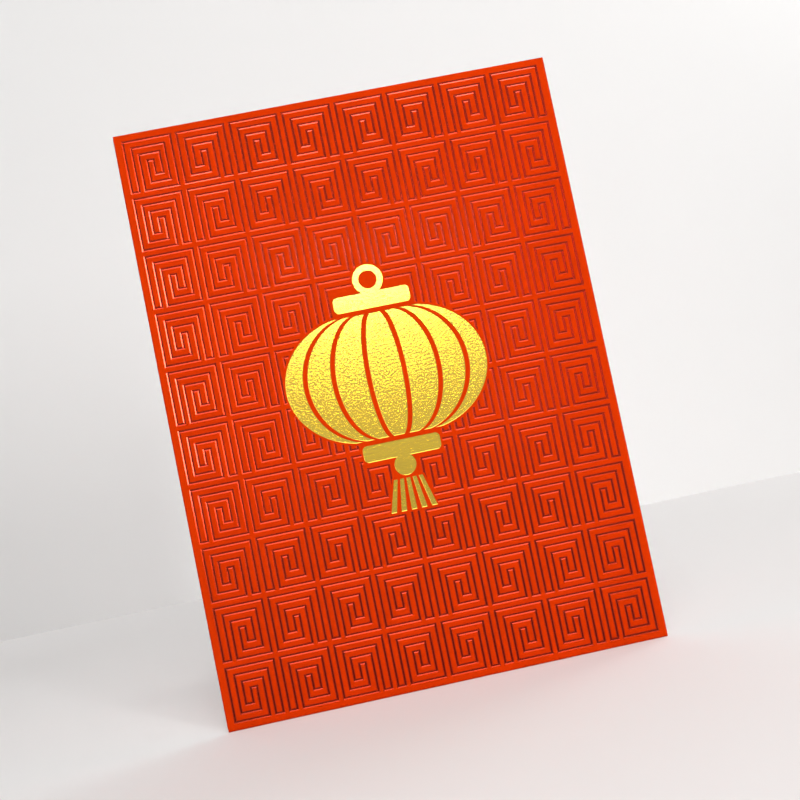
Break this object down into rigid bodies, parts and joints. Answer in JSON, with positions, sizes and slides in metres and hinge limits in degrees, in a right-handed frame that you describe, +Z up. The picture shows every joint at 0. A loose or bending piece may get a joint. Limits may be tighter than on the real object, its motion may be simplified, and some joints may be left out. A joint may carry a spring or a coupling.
{
  "type": "red gift envelope",
  "caption": "Upright paper gift envelope folded from one sheet, with a glued side seam and bottom flap, foil-stamped front and a hinged top flap that opens the pocket.",
  "frame": {"origin": "middle of the bottom edge, on the outer plane of the back, where the packet stands and leans", "axes": "+Z up along the packet's height, +X to the right seen from the front, +Y out of the back, so the stamped front faces -Y"},
  "size_m": [0.085, 0.0012, 0.115],
  "materials": {
    "red_paper": "orange-red coated paper with a fine even grain",
    "red_foil": "dark red glossy hot-stamped foil",
    "gold_foil": "gold hot-stamped foil with a fine grain",
    "dried_glue": "thin dried line of white glue"
  },
  "bodies": {
    "packet": {"front_panel": "red_paper", "back_panel": "red_paper", "right_fold": "red_paper", "left_fold": "red_paper", "seam_tab": "red_paper", "bottom_fold": "red_paper", "bottom_flap": "red_paper", "top_crease": "red_paper", "seam_glue": "dried_glue", "bottom_glue": "dried_glue", "gold_lantern": "gold_foil", "red_foil_row_01": "red_foil", "red_foil_row_02": "red_foil", "red_foil_row_03": "red_foil", "red_foil_row_04": "red_foil", "red_foil_row_05": "red_foil", "red_foil_row_06": "red_foil", "red_foil_row_07": "red_foil", "red_foil_row_08": "red_foil", "red_foil_row_09": "red_foil", "red_foil_row_10": "red_foil"},
    "flap": {"top_flap": "red_paper"}
  },
  "joints": [
    {"name": "flap_hinge", "type": "hinge", "parent": "packet", "child": "flap", "pos_m": [0, -0.00061, 0.11439], "axis": [1, 0, 0], "range_deg": [0, 180], "deforming": ["top_crease"]}
  ]
}
